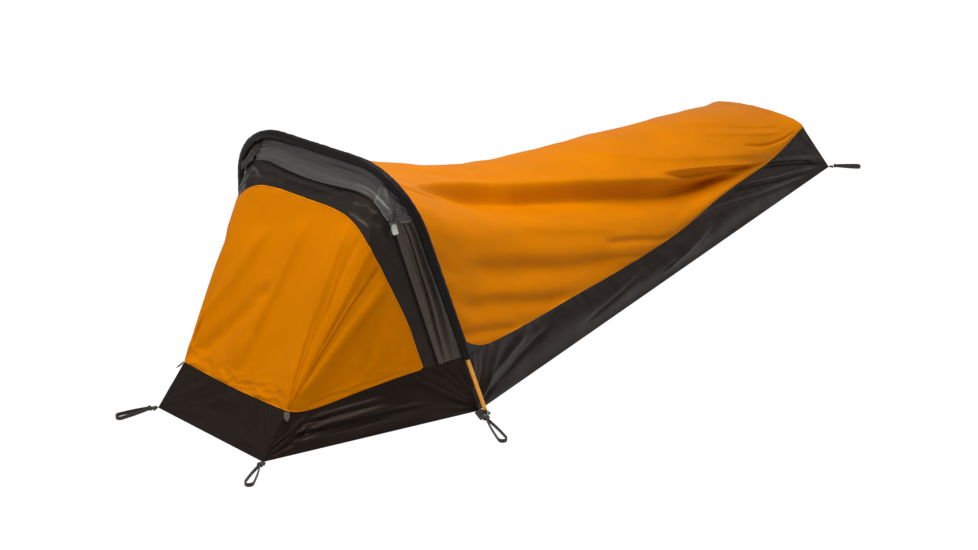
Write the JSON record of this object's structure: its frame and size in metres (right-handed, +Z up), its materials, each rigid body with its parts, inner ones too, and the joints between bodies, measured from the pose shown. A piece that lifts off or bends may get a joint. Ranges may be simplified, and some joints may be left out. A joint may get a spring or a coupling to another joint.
{
  "type": "hooped bivy shelter",
  "caption": "Low one-person shelter: black bathtub floor, orange canopy and hood, one sleeved hoop leaning over the head end, a zipped fold-down door and peg loops.",
  "frame": {"origin": "middle of the groundsheet's underside, on the ground", "axes": "+Y from the head end to the foot end, +X to the near side, +Z up"},
  "size_m": [1.0543, 2.5124, 0.5763],
  "materials": {
    "black_cloth": "coated ripstop, faint sheen",
    "orange_cloth": "coated breathable nylon, soft sheen",
    "band_cloth": "coated nylon, soft sheen",
    "grey_cloth": "coated nylon, soft sheen",
    "brown_grey_cloth": "light pleated nylon",
    "zip_tape": "coated zip tape",
    "slider_metal": "black paint",
    "pull_plastic": "pale, slightly rough",
    "pole_alloy": "orange anodised",
    "ferrule_alloy": "plain",
    "elastic_cord": "braided cover",
    "tip_plastic": "moulded",
    "grommet_metal": "dull",
    "webbing": "woven polyester"
  },
  "bodies": {
    "shell": {"groundsheet": "black_cloth", "tub_head_wall": "black_cloth", "tub_side_head_near": "black_cloth", "tub_side_head_far": "black_cloth", "tub_side_foot_near": "black_cloth", "tub_side_foot_far": "black_cloth", "tub_foot_wall": "black_cloth", "hoop_gusset_near": "black_cloth", "hoop_gusset_far": "black_cloth", "rear_canopy": "orange_cloth", "pole_sleeve": "band_cloth", "brow": "grey_cloth", "brow_end_near": "grey_cloth", "brow_end_far": "grey_cloth", "side_panel_near": "brown_grey_cloth", "side_panel_far": "brown_grey_cloth", "zip_tape_shell": "zip_tape", "pole_section_1": "pole_alloy", "pole_section_2": "pole_alloy", "pole_section_3": "pole_alloy", "pole_section_4": "pole_alloy", "pole_ferrule_1": "ferrule_alloy", "pole_ferrule_2": "ferrule_alloy", "pole_ferrule_3": "ferrule_alloy", "shock_cord": "elastic_cord", "pole_tip_near": "tip_plastic", "pole_tip_far": "tip_plastic", "grommet_near": "grommet_metal", "grommet_far": "grommet_metal", "peg_tab_head_near": "webbing", "peg_tab_head_far": "webbing", "peg_tab_hoop_near": "webbing", "peg_tab_hoop_far": "webbing", "peg_tab_foot_near": "webbing", "peg_tab_foot_far": "webbing", "gear_tab_near": "webbing", "gear_tab_far": "webbing"},
    "door": {"door_leaf": "orange_cloth", "door_border": "band_cloth", "zip_tape_door": "zip_tape"},
    "slider_near": {"zip_slider_near": "slider_metal"},
    "pull_near": {"zip_pull_near": "pull_plastic"},
    "slider_far": {"zip_slider_far": "slider_metal"},
    "pull_far": {"zip_pull_far": "pull_plastic"},
    "loop_head_near": {"peg_loop_head_near": "webbing"},
    "loop_head_far": {"peg_loop_head_far": "webbing"},
    "loop_hoop_near": {"peg_loop_hoop_near": "webbing"},
    "loop_hoop_far": {"peg_loop_hoop_far": "webbing"},
    "loop_foot_near": {"peg_loop_foot_near": "webbing"},
    "loop_foot_far": {"peg_loop_foot_far": "webbing"}
  },
  "joints": [
    {"name": "door_fold", "type": "hinge", "parent": "shell", "child": "door", "pos_m": [0, -1.095, 0.088], "axis": [1, 0, 0], "range_deg": [0, 120]},
    {"name": "zip_near_run", "type": "slide", "parent": "shell", "child": "slider_near", "axis": [0.2942, 0.0938, -0.9511], "range_m": [0, 0.335]},
    {"name": "zip_near_pull_swing", "type": "hinge", "parent": "slider_near", "child": "pull_near", "pos_m": [0.23327, -0.8218, 0.4665], "axis": [-0.4366, -0.8721, -0.2211], "range_deg": [0, 120]},
    {"name": "zip_far_run", "type": "slide", "parent": "shell", "child": "slider_far", "axis": [-0.2942, 0.0938, -0.9511], "range_m": [0, 0.335]},
    {"name": "zip_far_pull_swing", "type": "hinge", "parent": "slider_far", "child": "pull_far", "pos_m": [-0.23327, -0.8218, 0.4665], "axis": [-0.4366, 0.8721, 0.2211], "range_deg": [0, 120]},
    {"name": "peg_loop_head_near_lift", "type": "hinge", "parent": "shell", "child": "loop_head_near", "pos_m": [0.18665, -1.19171, 0.0053], "axis": [-0.866, -0.5, 0], "range_deg": [0, 90]},
    {"name": "peg_loop_head_far_lift", "type": "hinge", "parent": "shell", "child": "loop_head_far", "pos_m": [-0.18296, -1.19335, 0.0053], "axis": [-0.9511, 0.309, 0], "range_deg": [0, 90]},
    {"name": "peg_loop_hoop_near_lift", "type": "hinge", "parent": "shell", "child": "loop_hoop_near", "pos_m": [0.42554, -0.73366, 0.0053], "axis": [-0.454, -0.891, 0], "range_deg": [0, 90]},
    {"name": "peg_loop_hoop_far_lift", "type": "hinge", "parent": "shell", "child": "loop_hoop_far", "pos_m": [-0.43006, -0.70667, 0.0053], "axis": [0.1392, 0.9903, 0], "range_deg": [0, 90]},
    {"name": "peg_loop_foot_near_lift", "type": "hinge", "parent": "shell", "child": "loop_foot_near", "pos_m": [0.24581, 1.18607, 0.0053], "axis": [0.5736, -0.8192, 0], "range_deg": [0, 90]},
    {"name": "peg_loop_foot_far_lift", "type": "hinge", "parent": "shell", "child": "loop_foot_far", "pos_m": [-0.24479, 1.18741, 0.0053], "axis": [0.6428, 0.766, 0], "range_deg": [0, 90]}
  ]
}
